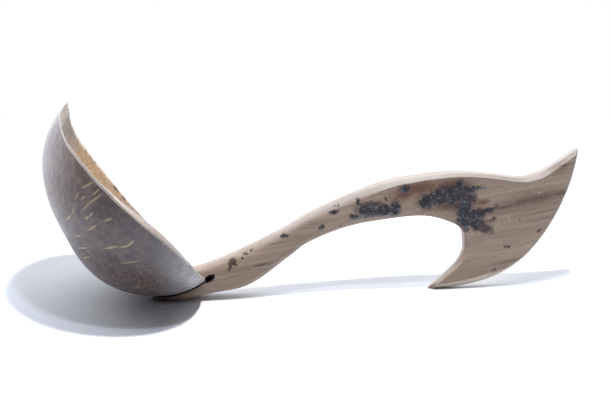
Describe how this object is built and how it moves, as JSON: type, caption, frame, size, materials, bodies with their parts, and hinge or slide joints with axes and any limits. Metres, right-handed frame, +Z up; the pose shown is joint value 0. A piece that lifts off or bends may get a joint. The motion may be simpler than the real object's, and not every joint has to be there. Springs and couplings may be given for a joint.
{
  "type": "coconut shell ladle",
  "caption": "Ladle with a bowl cut from a coconut shell, pegged into the slotted end of a carved wooden handle that arches to a hooked fish-tail.",
  "frame": {"origin": "middle of the ladle's length and width, on the table it stands on", "axes": "+X from the bowl to the tail, +Z up, the handle's middle plane at y = 0"},
  "size_m": [0.2428, 0.0991, 0.0899],
  "materials": {
    "coconut_shell": "dark smoothed coconut shell, lightly waxed",
    "handle_wood": "dry hand-carved hardwood",
    "peg_wood": "cut flush"
  },
  "bodies": {
    "root": {"coconut_shell_bowl": "coconut_shell", "carved_handle": "handle_wood", "peg_rear": "peg_wood", "peg_front": "peg_wood"}
  },
  "joints": []
}
